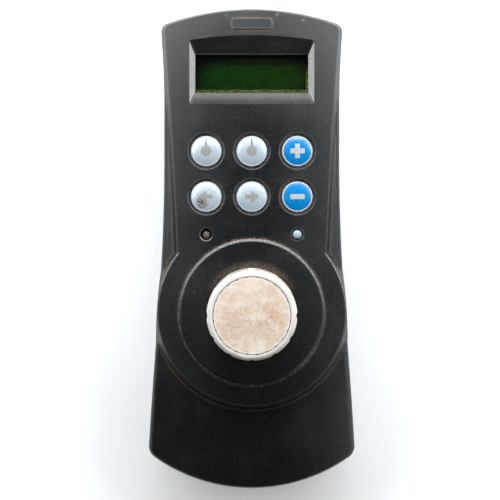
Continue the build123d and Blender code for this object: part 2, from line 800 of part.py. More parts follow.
# ---------------------------------------------------------------- rotary encoder
encoder_top_z = encoder_face_z - plate_t
collar_r, collar_z, collar_t = shaft_collar
with BuildPart() as encoder_body:
    block(0, knob_y, encoder_z, (encoder_side, encoder_side, encoder_top_z - encoder_z))
    chamfer(encoder_body.edges().filter_by(Axis.Z), 1.0)
    post(0, knob_y, shaft_foot_z - 0.6, shaft_r + 0.2, overrun, mode=Mode.SUBTRACT)
    post(0, knob_y, collar_z - 0.4, collar_r + 0.4, overrun, mode=Mode.SUBTRACT)
save(encoder_body, "encoder_body")

with BuildPart() as encoder_bushing:
    block(0, knob_y, encoder_top_z, (encoder_side, encoder_side, plate_t))
    chamfer(encoder_bushing.edges().filter_by(Axis.Z), 1.0)
    post(0, knob_y, encoder_face_z, bushing_r, bushing_l)
    chamfer(encoder_bushing.edges().group_by(Axis.Z)[-1], 0.4)
    post(0, knob_y, encoder_top_z, shaft_r + 0.06, overrun, mode=Mode.SUBTRACT)
save(encoder_bushing, "encoder_bushing")

with BuildPart() as encoder_washer:
    post(0, knob_y, well_floor_z, washer_r, washer_t)
    post(0, knob_y, well_floor_z, bushing_r + slide_gap, washer_t, mode=Mode.SUBTRACT)
save(encoder_washer, "encoder_washer")

with BuildPart() as encoder_nut:
    with BuildSketch(Plane.XY.offset(well_floor_z + washer_t)):
        with Locations((0, knob_y)):
            RegularPolygon(nut_flat_r, 6, major_radius=False)
            Circle(bushing_r + 0.05, mode=Mode.SUBTRACT)
    extrude(amount=nut_t)
save(encoder_nut, "encoder_nut")

with BuildPart() as encoder_terminals:
    for x, y in encoder_pins:
        post(x, y, board_z - pin_l, 0.35, encoder_z - board_z + pin_l)
save(encoder_terminals, "encoder_terminals")

with BuildPart() as encoder_shaft:
    post(0, knob_y, shaft_foot_z, shaft_r, shaft_top_z - shaft_foot_z)
    post(0, knob_y, collar_z, collar_r, collar_t)
    chamfer(encoder_shaft.edges().group_by(Axis.Z)[-1], 0.4)
save(encoder_shaft, "encoder_shaft")

# ---------------------------------------------------------------- knob
crown_foot_z = knob_top_z - knob_crown_r
knob_core_r = 8.4            # outside of the tube that holds the collet
knob_skirt_r = 15.6          # inside of the skirt
knob_web_z = 48.0            # underside of the web that joins them
collet_hole_r = collet_r + 0.05
collet_nut_room_r = 7.2
tube_foot_z = collet_foot_z - 0.4
cap_seat_r = knob_face_r + 0.18

with BuildPart() as knob:
    with BuildSketch(upright(0, knob_y)):
        with BuildLine():
            Polyline(
                (knob_grip_r - knob_crown_r, knob_top_z), (cap_seat_r, knob_top_z),
                (cap_seat_r, cap_floor_z), (collet_nut_room_r, cap_floor_z),
                (collet_nut_room_r, collet_shoulder_z), (collet_hole_r, collet_shoulder_z),
                (collet_hole_r, tube_foot_z), (knob_core_r, tube_foot_z), (knob_core_r, knob_web_z),
                (knob_skirt_r, knob_web_z), (knob_skirt_r, knob_bottom_z), (knob_r - 0.5, knob_bottom_z),
                (knob_r, knob_bottom_z + 0.5), (knob_r, knob_grip_z), (knob_grip_r, crown_foot_z),
            )
            RadiusArc((knob_grip_r, crown_foot_z), (knob_grip_r - knob_crown_r, knob_top_z), -knob_crown_r)
        make_face()
    revolve(axis=spindle(0, knob_y))
    with BuildSketch(Plane.XY.offset(knob_grip_z)):
        with Locations((0, knob_y)):
            with PolarLocations(knob_r + flute_sink, flute_count):
                Circle(flute_r)
    extrude(amount=overrun, mode=Mode.SUBTRACT)
save(knob, "knob")

with BuildPart() as knob_cap:
    with BuildSketch(upright(0, knob_y)):
        with BuildLine():
            Polyline(
                (0, knob_top_z), (0, cap_floor_z + 0.05), (knob_face_r, cap_floor_z + 0.05),
                (knob_face_r, knob_top_z - 0.45), (knob_face_r - 0.25, knob_top_z - 0.2),
            )
            TangentArc((0, knob_top_z), (knob_face_r - 0.25, knob_top_z - 0.2), tangent=(1, 0))
        make_face()
    revolve(axis=spindle(0, knob_y))
    with BuildSketch(Plane.XY.offset(cap_floor_z)):
        with Locations((0, knob_y)):
            with PolarLocations(knob_face_r + 0.1, cap_notches, start_angle=180 / cap_notches):
                Rectangle(0.7, 1.0)
    extrude(amount=overrun, mode=Mode.SUBTRACT)
save(knob_cap, "knob_cap")

with BuildPart() as knob_collet:
    post(0, knob_y, collet_foot_z, collet_r, collet_shoulder_z - collet_foot_z)
    post(0, knob_y, collet_shoulder_z, collet_neck_r, collet_nut_t)
    post(0, knob_y, collet_foot_z, shaft_r + 0.03, overrun, mode=Mode.SUBTRACT)
    block(0, knob_y, collet_foot_z, (collet_slot, 4 * collet_r, 8.0), mode=Mode.SUBTRACT)
    block(0, knob_y, collet_foot_z, (4 * collet_r, collet_slot, 8.0), mode=Mode.SUBTRACT)
save(knob_collet, "knob_collet")

with BuildPart() as knob_collet_nut:
    with BuildSketch(Plane.XY.offset(collet_shoulder_z)):
        with Locations((0, knob_y)):
            RegularPolygon(collet_nut_flat_r, 6, major_radius=False)
            Circle(collet_neck_r + 0.03, mode=Mode.SUBTRACT)
    extrude(amount=collet_nut_t)
save(knob_collet_nut, "knob_collet_nut")

# ---------------------------------------------------------------- tail connector
flange_back_y = inner_wall_y + flange_t
shell_room = (shell_size[0] - 2 * shell_t, shell_size[1] - 2 * shell_t)
body_l = 9.2
body_top_z = connector_z + (flange_size[1] - 0.1) / 2


def trapezium(width, height):
    """The D-shaped section of the connector, on the plane across its axis."""
    slope = height * math.tan(math.radians(10))
    with BuildSketch() as section:
        with BuildLine():
            Polyline(
                (-width / 2, height / 2), (width / 2, height / 2),
                (width / 2 - slope, -height / 2), (slope - width / 2, -height / 2), close=True,
            )
        make_face()
        fillet(section.vertices(), 1.6)
    return section.sketch


def across(y):
    """The plane across the connector's axis at y, facing out of the tail."""
    return Plane(origin=(0, y, connector_z), x_dir=(1, 0, 0), z_dir=(0, -1, 0))


with BuildPart() as connector_shell:
    with BuildSketch(across(flange_back_y)):
        RectangleRounded(*flange_size, 0.8)
        with Locations((-jack_spacing / 2, 0), (jack_spacing / 2, 0)):
            Circle(jack_clearance_r, mode=Mode.SUBTRACT)
    extrude(amount=flange_t)
    with BuildSketch(across(inner_wall_y)):
        add(trapezium(*shell_size))
    extrude(amount=shell_l)
    with BuildSketch(across(flange_back_y)):
        add(trapezium(*shell_room))
    extrude(amount=overrun, mode=Mode.SUBTRACT)
save(connector_shell, "connector_shell")

with BuildPart() as connector_body:
    with BuildSketch(across(flange_back_y + body_l)):
        RectangleRounded(19.4, flange_size[1] - 0.1, 0.6)
    extrude(amount=body_l)
    with BuildSketch(across(flange_back_y)):
        add(trapezium(shell_room[0] - 0.1, shell_room[1] - 0.1))
    extrude(amount=2 * flange_t)
save(connector_body, "connector_body")

with BuildPart() as connector_pins:
    for row_z, count in ((connector_row, 5), (-connector_row, 4)):
        for i in range(count):
            pin_x = connector_pitch * (i - (count - 1) / 2)
            with Locations(Location((pin_x, inner_wall_y - flange_t, connector_z + row_z), (90, 0, 0))):
                Cylinder(0.5, shell_l - 1.2, align=STANDING)
    for x, y in connector_tails:
        post(x, y, body_top_z, 0.3, board_top_z + 1.0 - body_top_z)
save(connector_pins, "connector_pins")

with BuildPart() as connector_jackscrews:
    for x, y, z in jack_places:
        with BuildSketch(Plane(origin=(x, y, z), x_dir=(1, 0, 0), z_dir=(0, -1, 0))):
            RegularPolygon(jack_flat_r, 6, major_radius=False)
        extrude(amount=jack_hex_l)
        with Locations(Location((x, y, z), (90, 0, 0))):
            Cylinder(jack_thread_r, jack_thread_l, align=HANGING)
        with Locations(Location((x, y - jack_hex_l, z), (90, 0, 0))):
            Cylinder(jack_hole_r, jack_hex_l - 0.6, align=HANGING, mode=Mode.SUBTRACT)
save(connector_jackscrews, "connector_jackscrews")
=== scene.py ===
import math

import bmesh
import bpy
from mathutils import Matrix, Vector


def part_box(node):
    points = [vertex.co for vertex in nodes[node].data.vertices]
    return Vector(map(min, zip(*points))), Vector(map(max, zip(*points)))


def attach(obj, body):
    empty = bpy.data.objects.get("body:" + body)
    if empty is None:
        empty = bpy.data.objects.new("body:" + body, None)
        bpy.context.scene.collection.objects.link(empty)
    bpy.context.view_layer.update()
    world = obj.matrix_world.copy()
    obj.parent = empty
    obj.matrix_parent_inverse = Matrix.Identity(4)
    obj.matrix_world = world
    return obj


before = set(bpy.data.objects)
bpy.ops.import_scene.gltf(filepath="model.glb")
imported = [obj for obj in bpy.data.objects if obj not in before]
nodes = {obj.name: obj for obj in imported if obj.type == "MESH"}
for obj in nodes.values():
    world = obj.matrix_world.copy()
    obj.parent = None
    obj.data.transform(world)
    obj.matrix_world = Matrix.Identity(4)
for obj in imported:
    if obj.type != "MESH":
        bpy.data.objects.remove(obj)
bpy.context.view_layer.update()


def middle(node):
    """The centre of a CAD node's box."""
    low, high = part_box(node)
    return (low + high) / 2


def half_width(node):
    """Half of how far a CAD node's box reaches along X."""
    low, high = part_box(node)
    return (high.x - low.x) / 2


# ------------------------------------------------------------------ sizes and places, in metres
MM = 0.001

# housing; its middle line is x = 0 and the display end is the +Y end
PANEL_Z = 36.0 * MM                    # the flat raised panel
RECESS_Z = 33.0 * MM                   # floor of the display recess
RECESS_START_Y = 60.0 * MM             # the recess lies on the display side of this
RECESS_HALF_W = 27.5 * MM              # and nearer to the middle line than this
PLATFORM_BEVEL_R = 30.0 * MM           # bevel of the round platform under the knob
DISC_R = 39.2 * MM                     # shoulder of the wide round part of the cover
SHOULDER_START_X = 30.2 * MM           # the shoulder is rubbed bare only farther out than this
LEFT_LED = middle("led_left")
LED_HOLE_R = 2.65 * MM                 # to the middle of the hole's chamfer
CROWN_R = 160.0 * MM                   # radius of a very slight bulge of the covers across their width
BOW_R = 500.0 * MM                     # radius at which they fall away towards the display end
BOW_START_Y = 52.0 * MM
SCUFFS = [(-10.5, 99.2), (10.6, 99.4), (21.5, 97.2)]      # light marks at the display end, in mm

# knob
KNOB = middle("knob")
KNOB_R = half_width("knob")
KNOB_FOOT_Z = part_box("knob")[0].z
CAP_R = half_width("knob_cap")

# display
DISPLAY = middle("lcd_glass")
WINDOW_HALF_W = 23.85 * MM             # half sizes of the opening in front of the display
WINDOW_HALF_H = 8.1 * MM

# keys
DOME_DROP = 1.05 * MM                  # how far a key's face falls from its centre to its edge
LEGEND_T = 0.05 * MM                   # thickness of a printed legend

# rear label
LABEL_MARGIN = 1.6 * MM                # from the label's edge to its printed border
LABEL_RULE_PITCH = 3.4 * MM

# camera, light and floor
EYE_ABOVE_PANEL = 0.310                # the camera looks straight down from here
EYE = Vector((-0.00075, 0.0011, PANEL_Z + EYE_ABOVE_PANEL))
VIEW_WIDTH = 0.20865                   # what the picture takes in, across the panel
SENSOR = 36.0                          # width of the camera's sensor, in mm
LIT_SPOT = Vector((0.0, 0.0, 0.02))    # every lamp faces this
FLOOR_HALF = 3.0
FLOOR_GLOW = 0.22
WORLD_STRENGTH = 0.05
LIGHTS = [                             # name, place, size, power in watts
    ("key_light", (0.0, 0.38, 0.30), (0.50, 0.12), 2.3),
    ("left_light", (-0.37, 0.22, 0.30), (0.40, 0.20), 2.1),
    ("right_light", (0.37, 0.22, 0.30), (0.40, 0.20), 2.1),
    ("low_right_light", (0.40, -0.20, 0.16), (0.30, 0.12), 0.35),
]

# ------------------------------------------------------------------ colours
CHARCOAL = (0.0040, 0.0042, 0.0047)
CHARCOAL_WORN = (0.030, 0.031, 0.034)
EDGE_WEAR_AND_HIGHLIGHT = (0.28, 0.285, 0.285)       # outer edges rubbed smooth, lighter also as a painted highlight
BEVEL_HIGHLIGHT = (0.27, 0.26, 0.245)        # painted highlight on bevels, almost white
# painted light for the display recess's slopes, the first also the colour of the scuffs
SCUFF_AND_LIT_SLOPE = (0.19, 0.185, 0.165)
LIT_SIDE_SLOPE = (0.42, 0.41, 0.38)
BROWN_DUST = (0.21, 0.145, 0.098)
DARK_DUST = (0.14, 0.12, 0.10)

KNOB_WHITE = (0.79, 0.745, 0.705)
KNOB_AGED = (0.68, 0.63, 0.575)
# darker brown for the knob's inner corners
KNOB_CORNER_BROWN = (0.36, 0.27, 0.19)
KNOB_FOOT_GRIME = (0.40, 0.30, 0.21)
# painted shade for the knob's side away from the display end
KNOB_SHADED_SIDE = (0.50, 0.41, 0.34)
CAP_BEIGE = (0.80, 0.71, 0.62)
CAP_AGED = (0.72, 0.58, 0.46)
CAP_STAIN = (0.60, 0.395, 0.255)
CAP_SPECK = (0.42, 0.235, 0.125)
CAP_RIM = (0.82, 0.78, 0.73)

KEY_CLEAR = (0.52, 0.55, 0.58)
KEY_GRIME = (0.28, 0.20, 0.145)
SILVER = (0.57, 0.65, 0.725)
SILVER_DEEP = (0.51, 0.60, 0.68)
BLUE = (0.0, 0.215, 0.54)
BLUE_DEEP = (0.0, 0.185, 0.48)
FLAKE_DARK = (0.055, 0.035, 0.024)
FLAKE_LIGHT = (0.36, 0.27, 0.20)

WINDOW_DUST = (0.05, 0.05, 0.045)
LCD_BLACK = (0.002, 0.0028, 0.0016)
LCD_GREEN = (0.034, 0.34, 0.022)
LCD_YELLOW_GREEN = (0.075, 0.33, 0.012)
LCD_GOLD = (0.85, 0.78, 0.34)

FOIL = (0.60, 0.61, 0.62)
FOIL_SCRATCH = (0.36, 0.36, 0.37)
FOIL_PRINT = (0.02, 0.02, 0.022)

PAPER = (0.93, 0.93, 0.93)
PAPER_DULL = (0.90, 0.90, 0.90)
WHITE = (1.0, 1.0, 1.0)
SKY = (0.93, 0.97, 1.0)


# ------------------------------------------------------------------ a small language for node materials
class Finish:
    """A node material around one Principled shader, built a node at a time."""

    def __init__(self, name, **uniform):
        self.material = bpy.data.materials.new(name)
        self.material.use_nodes = True
        self.tree = self.material.node_tree
        self.shader = self.tree.nodes["Principled BSDF"]
        self.place = self.node("TexCoord").outputs["Object"]
        self.set(**uniform)

    def node(self, kind, inputs=None, **settings):
        """Adds a shader node with these inputs, each a value or another node's output."""
        made = self.tree.nodes.new("ShaderNode" + kind)
        for name, value in settings.items():
            setattr(made, name, value)
        for socket, value in (inputs or {}).items():
            self.feed(made.inputs[socket], value)
        return made

    def feed(self, socket, value):
        """Gives an input its value, or links it to another node's output."""
        if isinstance(value, bpy.types.NodeSocket):
            self.tree.links.new(value, socket)
        elif isinstance(value, tuple) and socket.type == "RGBA":
            socket.default_value = (*value, 1.0)
        else:
            socket.default_value = value

    def set(self, **inputs):
        """Sets inputs of the shader, named with _ for each space, and returns the material."""
        for socket, value in inputs.items():
            self.feed(self.shader.inputs[socket.replace("_", " ")], value)
        return self.material

    def math(self, operation, *values):
        return self.node("Math", dict(enumerate(values)), operation=operation).outputs[0]

    def times(self, *values):
        """The product of several masks."""
        product = values[0]
        for value in values[1:]:
            product = self.math("MULTIPLY", product, value)
        return product

    def either(self, a, b):
        """The stronger of two masks."""
        return self.math("MAXIMUM", a, b)

    def magnitude(self, value):
        return self.math("ABSOLUTE", value)

    def apart(self, value, target):
        """How far value is from target."""
        return self.magnitude(self.math("SUBTRACT", value, target))

    def ramp(self, value, start, end, low=0.0, high=1.0):
        """Turns value, as it goes from start to end, smoothly into low to high."""
        sockets = {"Value": value, "From Min": start, "From Max": end, "To Min": low, "To Max": high}
        return self.node("MapRange", sockets, interpolation_type="SMOOTHSTEP").outputs["Result"]

    def near(self, value, target, reach):
        """1 where value is at target, 0 beyond reach from it."""
        return self.ramp(self.apart(value, target), 0.0, reach, 1.0, 0.0)

    def noise(self, size, detail=2.0, roughness=0.5, stretch=(1, 1, 1), seed=0.0):
        """Noise with lumps about size metres across, longer along an axis whose stretch is larger."""
        scaled = self.node(
            "Mapping", {"Vector": self.place, "Scale": [1 / s for s in stretch], "Location": [seed] * 3}
        )
        sockets = {
            "Vector": scaled.outputs["Vector"], "Scale": 1 / size, "Detail": detail, "Roughness": roughness,
        }
        return self.node("TexNoise", sockets).outputs["Fac"]

    def mix(self, share, a, b):
        """Colour a where share is 0 and b where it is 1."""
        return self.node("Mix", {0: share, 6: a, 7: b}, data_type="RGBA").outputs[2]

    def axes(self):
        """The X, Y and Z of the place being shaded."""
        return self.node("SeparateXYZ", {0: self.place}).outputs

    def facing(self):
        """The X, Y and Z of the true surface normal."""
        return self.node("SeparateXYZ", {0: self.node("NewGeometry").outputs["True Normal"]}).outputs

    def from_axis(self, x, y):
        """Distance from the vertical axis through (x, y)."""
        flat = self.node("VectorMath", {0: self.place, 1: (1, 1, 0)}, operation="MULTIPLY").outputs[0]
        return self.node("VectorMath", {0: flat, 1: (x, y, 0)}, operation="DISTANCE").outputs["Value"]

    def corners(self, reach, outside=False):
        """Rises from 0 on open faces to about 0.5 in an inner corner, or along an outer edge if outside."""
        shade = self.node("AmbientOcclusion", {"Distance": reach}, inside=outside, only_local=True, samples=8)
        return self.math("SUBTRACT", 1.0, shade.outputs["AO"])

    def relief(self, *layers, normal=None):
        """Bump from (height, depth in metres) layers, the first one lowest, on the given normal."""
        for height, depth in layers:
            bump = self.node("Bump", {"Height": height, "Distance": depth})
            if normal:
                self.feed(bump.inputs["Normal"], normal)
            normal = bump.outputs["Normal"]
        self.set(Normal=normal)


# ------------------------------------------------------------------ housing
def highlit_bevels(f, x, y, z, r):
    """Where the platform's bevel and the shoulders get an almost white painted highlight: on the display
    side, where the key lamp stands, with gaps.
    """
    lamp_side = f.ramp(y, KNOB.y - 8 * MM, KNOB.y + 15 * MM)
    bevel = f.times(
        f.near(r, PLATFORM_BEVEL_R, 0.75 * MM),
        f.ramp(z, PANEL_Z + 0.05 * MM, PANEL_Z + 0.5 * MM),
    )
    shoulder = f.times(
        f.near(r, DISC_R, 0.55 * MM),
        f.ramp(z, PANEL_Z - 1.0 * MM, PANEL_Z - 0.3 * MM),
        f.ramp(f.magnitude(x), SHOULDER_START_X, SHOULDER_START_X + 0.8 * MM),
    )
    broken_up = f.ramp(f.noise(0.5 * MM, 3.0, 0.6, seed=12.0), 0.40, 0.60, 0.25, 1.0)
    return f.times(f.either(bevel, shoulder), lamp_side, broken_up)


def bowed_height(f, x, y):
    """Height of the very slight bulge of the covers, 0 along the middle line up to the start of the bow."""
    past = f.math("MAXIMUM", f.math("SUBTRACT", y, BOW_START_Y), 0.0)
    bow = f.math("DIVIDE", f.times(past, past), -2 * BOW_R)
    crown = f.math("DIVIDE", f.times(x, x), -2 * CROWN_R)
    return f.math("ADD", crown, bow)


def housing_plastic():
    """Charcoal plastic with an eroded grain, rubbed edges, brown dust in its corners and a few scuffs, with
    painted highlights on its edges and bevels and painted light on the display recess's slopes.
    """
    f = Finish("housing_plastic", Specular_IOR_Level=0.5)
    x, y, z = f.axes()
    turn_x, turn_y = f.facing()[:2]
    r = f.from_axis(KNOB.x, KNOB.y)
    grain = f.noise(0.55 * MM, 3.0, 0.6)
    fine = f.noise(0.22 * MM, 2.0)
    patches = f.noise(14 * MM, 3.0)
    colour = f.mix(f.ramp(grain, 0.50, 0.72, 0.0, 0.6), CHARCOAL, CHARCOAL_WORN)
    haze = f.times(f.ramp(patches, 0.50, 0.72), f.ramp(f.noise(0.9 * MM, 2.0), 0.45, 0.7), 0.10)
    colour = f.mix(haze, colour, BROWN_DUST)

    # outer edges are rubbed smooth and lighter as a painted highlight, and some bevels get an almost white
    # painted highlight
    edge = f.ramp(f.corners(0.9 * MM, outside=True), 0.10, 0.34)
    worn_and_highlit = f.times(edge, f.ramp(f.noise(1.3 * MM, 3.0, seed=4.0), 0.25, 0.60, 0.25, 1.0))
    colour = f.mix(f.times(worn_and_highlit, 0.55), colour, EDGE_WEAR_AND_HIGHLIGHT)
    colour = f.mix(highlit_bevels(f, x, y, z, r), colour, BEVEL_HIGHLIGHT)

    # the chamfer of the left LED's hole gets a painted highlight on the side of the knob, where it faces the
    # display end
    led_highlight = f.times(
        f.near(f.from_axis(LEFT_LED.x, LEFT_LED.y), LED_HOLE_R, 0.35 * MM),
        f.ramp(y, LEFT_LED.y - 0.6 * MM, LEFT_LED.y - 1.6 * MM),
    )
    colour = f.mix(f.times(led_highlight, 0.8), colour, BEVEL_HIGHLIGHT)

    # dust lies along the foot of each step, and on the platform on the display side of the knob
    grit = f.ramp(f.noise(0.6 * MM, 4.0, 0.7, seed=2.0), 0.38, 0.62)
    foot = f.times(
        f.ramp(f.corners(1.5 * MM), 0.08, 0.20), grit,
        f.ramp(f.noise(9 * MM, 2.0, seed=7.0), 0.30, 0.60, 0.5, 1.0),
        f.ramp(z, 20 * MM, 30 * MM),
    )
    ring = f.times(
        f.ramp(r, KNOB_R + 4.0 * MM, KNOB_R, 0.0, 0.55),
        f.ramp(y, KNOB.y + 6 * MM, KNOB.y + 17 * MM), grit,
    )
    dusty = f.either(foot, ring)
    colour = f.mix(dusty, colour, BROWN_DUST)

    # painted light, in a gritty pattern, on the slopes of the display recess that face sideways or the
    # display end, towards the lamps
    in_recess = f.times(
        f.ramp(z, PANEL_Z, PANEL_Z - 0.2 * MM),
        f.ramp(z, RECESS_Z - 1.2 * MM, RECESS_Z - 0.1 * MM),
        f.ramp(y, RECESS_START_Y, RECESS_START_Y + 1.0 * MM),
        f.ramp(f.magnitude(x), RECESS_HALF_W, RECESS_HALF_W - 0.9 * MM),
    )
    gritty = f.ramp(grain, 0.30, 0.66, 0.55, 1.0)
    inner = f.ramp(z, PANEL_Z - 0.3 * MM, RECESS_Z + 0.4 * MM, 0.04, 0.60)
    lit_endward_slopes = f.times(in_recess, f.ramp(turn_y, 0.2, 0.4), inner, gritty)
    lit_side_slopes = f.times(in_recess, f.ramp(f.magnitude(turn_x), 0.5, 0.7), gritty)
    colour = f.mix(lit_endward_slopes, colour, SCUFF_AND_LIT_SLOPE)
    colour = f.mix(lit_side_slopes, colour, LIT_SIDE_SLOPE)

    for scuff_x, scuff_y in SCUFFS:
        mark = f.ramp(f.from_axis(scuff_x * MM, scuff_y * MM), 1.1 * MM, 0.3 * MM)
        mark = f.times(mark, f.ramp(f.noise(0.5 * MM, 3.0, seed=scuff_x), 0.45, 0.6, 0.0, 0.8))
        colour = f.mix(mark, colour, SCUFF_AND_LIT_SLOPE)

    # the middle of the panel and the rubbed edges are smoother, the dust is rougher
    handled = f.ramp(f.magnitude(x), 24 * MM, 4 * MM, 0.0, 0.06)
    roughness = f.math("SUBTRACT", f.ramp(patches, 0.3, 0.7, 0.37, 0.44), handled)
    roughness = f.math("SUBTRACT", roughness, f.times(worn_and_highlit, 0.14))
    roughness = f.math("ADD", roughness, f.times(dusty, 0.35))
    f.relief((bowed_height(f, x, y), 1.0), (grain, 0.075 * MM), (fine, 0.028 * MM))
    return f.set(Base_Color=colour, Roughness=roughness)


# ------------------------------------------------------------------ knob and cap
def knob_plastic():
    """Glossy white plastic, darker brown in its flutes, with grime round its foot and painted shade on the
    side away from the display.
    """
    f = Finish("knob_plastic", IOR=1.5, Subsurface_Weight=0.08, Subsurface_Scale=2 * MM, Coat_Weight=0.25)
    patches = f.noise(5 * MM, 3.0)
    colour = f.mix(f.ramp(patches, 0.35, 0.7), KNOB_WHITE, KNOB_AGED)
    # darker brown in the flutes and other inner corners
    corner_brown = f.times(
        f.ramp(f.corners(1.2 * MM), 0.10, 0.35),
        f.ramp(f.noise(0.7 * MM, 4.0, 0.7), 0.40, 0.65, 0.1, 0.75),
    )
    colour = f.mix(corner_brown, colour, KNOB_CORNER_BROWN)
    foot = f.times(
        f.ramp(f.axes()["Z"], KNOB_FOOT_Z + 1.9 * MM, KNOB_FOOT_Z + 0.2 * MM),
        f.ramp(f.noise(0.8 * MM, 3.0, seed=3.0), 0.42, 0.62, 0.0, 0.6),
    )
    colour = f.mix(foot, colour, KNOB_FOOT_GRIME)
    # painted shade on the faces turned away from the display end
    lower = f.times(f.ramp(f.facing()["Y"], 0.0, -0.8), f.ramp(patches, 0.3, 0.6, 0.4, 0.8))
    colour = f.mix(lower, colour, KNOB_SHADED_SIDE)
    f.relief((f.noise(2.5 * MM, 2.0), 0.02 * MM), (f.noise(0.3 * MM, 2.0), 0.003 * MM))
    return f.set(Base_Color=colour, Roughness=f.ramp(patches, 0.3, 0.7, 0.22, 0.36))


def cap_plastic():
    """Aged beige plastic, pitted and stained brown, most of all at two places, with a clean rim."""
    f = Finish("cap_plastic", IOR=1.48)
    colour = f.mix(f.ramp(f.noise(6 * MM, 3.0), 0.3, 0.7), CAP_BEIGE, CAP_AGED)
    left = f.ramp(f.from_axis(KNOB.x - 6.5 * MM, KNOB.y - 1.5 * MM), 9.5 * MM, 2.0 * MM)
    right = f.ramp(f.from_axis(KNOB.x + 7.5 * MM, KNOB.y - 2.0 * MM), 9.0 * MM, 2.0 * MM)
    worst = f.times(f.either(left, right), f.ramp(f.noise(2.2 * MM, 3.0), 0.35, 0.6, 0.35, 0.8))
    blotches = f.ramp(f.noise(3.2 * MM, 4.0, 0.6, seed=5.0), 0.38, 0.62, 0.05, 0.75)
    stained = f.math("ADD", worst, blotches)
    specks = f.ramp(f.noise(0.40 * MM, 3.0, 0.65, seed=1.0), 0.47, 0.60)
    streaks = f.times(
        f.ramp(f.noise(0.7 * MM, 2.0, stretch=(1, 5, 1), seed=9.0), 0.52, 0.70),
        f.ramp(f.axes()["Y"], KNOB.y + 2 * MM, KNOB.y - 10 * MM),
    )
    colour = f.mix(f.times(stained, 0.34), colour, CAP_STAIN)
    colour = f.mix(f.times(f.either(specks, streaks), stained, 0.62), colour, CAP_SPECK)
    rim = f.ramp(f.from_axis(KNOB.x, KNOB.y), CAP_R - 1.3 * MM, CAP_R, 0.0, 0.75)
    colour = f.mix(rim, colour, CAP_RIM)
    f.relief((f.noise(0.5 * MM, 3.0), 0.02 * MM), (specks, -0.01 * MM))
    return f.set(Base_Color=colour, Roughness=f.ramp(stained, 0.0, 1.2, 0.42, 0.62))


# ------------------------------------------------------------------ keys
def key_rim():
    """Clear-white key body with brown grime on the side away from the display."""
    f = Finish("key_rim", IOR=1.5, Coat_Weight=0.4)
    spots = f.ramp(f.noise(0.6 * MM, 3.0), 0.35, 0.65, 0.4, 1.0)
    lower = f.times(f.ramp(f.facing()["Y"], -0.1, -0.8), spots)
    colour = f.mix(lower, KEY_CLEAR, KEY_GRIME)
    return f.set(Base_Color=colour, Roughness=f.ramp(f.noise(2 * MM), 0.3, 0.7, 0.20, 0.34))


def dome(key):
    """The centre and radius of the sphere that a key's face is part of."""
    face = f"key_face_{key}"
    edge = half_width(face)
    radius = (edge**2 + DOME_DROP**2) / (2 * DOME_DROP)
    centre = middle(face)
    centre.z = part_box(face)[1].z - radius
    return centre, radius


def key_dome(key, colour, deep, **uniform):
    """A glossy domed key face: its finish, its colour, a little deeper in places, and its round normal."""
    f = Finish(f"face_{key}", IOR=1.5, Coat_Weight=0.5, Coat_Roughness=0.08, **uniform)
    spoke = f.node("VectorMath", {0: f.place, 1: tuple(dome(key)[0])}, operation="SUBTRACT").outputs[0]
    normal = f.node("VectorMath", {0: spoke}, operation="NORMALIZE").outputs[0]
    tint = f.mix(f.ramp(f.noise(1.6 * MM, 3.0), 0.3, 0.7), colour, deep)
    return f, tint, normal


def clean_face(key, colour, deep, smoothest, roughest, **uniform):
    """A key face without damage, very slightly uneven."""
    f, tint, normal = key_dome(key, colour, deep, **uniform)
    f.relief((f.noise(4 * MM, 1.0), 0.004 * MM), normal=normal)
    return f.set(Base_Color=tint, Roughness=f.ramp(f.noise(5 * MM), 0.3, 0.7, smoothest, roughest))


def silver_face(key):
    return clean_face(key, SILVER, SILVER_DEEP, 0.29, 0.34, Metallic=0.35)


def blue_face(key):
    return clean_face(key, BLUE, BLUE_DEEP, 0.24, 0.29)


def worn_silver_face(key):
    """A silver face eaten away in one patch, with a few specks round it."""
    f, tint, normal = key_dome(key, SILVER, SILVER_DEEP, Metallic=0.35)
    centre = middle(f"key_face_{key}")
    flakes = f.noise(1.0 * MM, 3.0, 0.6, seed=6.0)
    pits = f.times(
        f.ramp(f.from_axis(centre.x - 1.7 * MM, centre.y - 2.5 * MM), 3.3 * MM, 1.6 * MM),
        f.ramp(flakes, 0.40, 0.46),
    )
    specks = f.times(
        f.ramp(f.from_axis(centre.x - 2.0 * MM, centre.y - 0.5 * MM), 5.0 * MM, 2.0 * MM),
        f.ramp(f.noise(0.45 * MM, 2.0, seed=8.0), 0.66, 0.70),
    )
    gone = f.either(pits, specks)
    bare = f.mix(f.ramp(flakes, 0.48, 0.58), FLAKE_DARK, FLAKE_LIGHT)
    f.relief((gone, -0.05 * MM), normal=normal)
    return f.set(Base_Color=f.mix(gone, tint, bare), Roughness=f.ramp(gone, 0.0, 1.0, 0.32, 0.8))


def legend_ink(name, colour, worn):
    """Printed ink, slightly uneven."""
    f = Finish(name, Specular_IOR_Level=0.25)
    wear = f.ramp(f.noise(0.8 * MM, 3.0), 0.35, 0.7)
    return f.set(Base_Color=f.mix(wear, colour, worn), Roughness=f.ramp(wear, 0.0, 1.0, 0.50, 0.65))


# ------------------------------------------------------------------ display
def window_plastic():
    """The clear window: almost all light goes through, apart from its gloss and very faint dust."""
    f = Finish("window_plastic", IOR=1.49, Base_Color=WINDOW_DUST)
    f.set(Roughness=f.ramp(f.noise(3 * MM), 0.3, 0.7, 0.04, 0.09))
    dust = f.ramp(f.noise(0.5 * MM, 4.0, 0.7), 0.50, 0.80, 0.0, 0.02)
    gloss = f.node("Fresnel", {"IOR": 1.45}).outputs[0]
    clear = f.node("BsdfTransparent").outputs[0]
    mixed = f.node("MixShader", {0: f.either(dust, gloss), 1: clear, 2: f.shader.outputs[0]})
    f.feed(f.tree.nodes["Material Output"].inputs["Surface"], mixed.outputs[0])
    return f.material


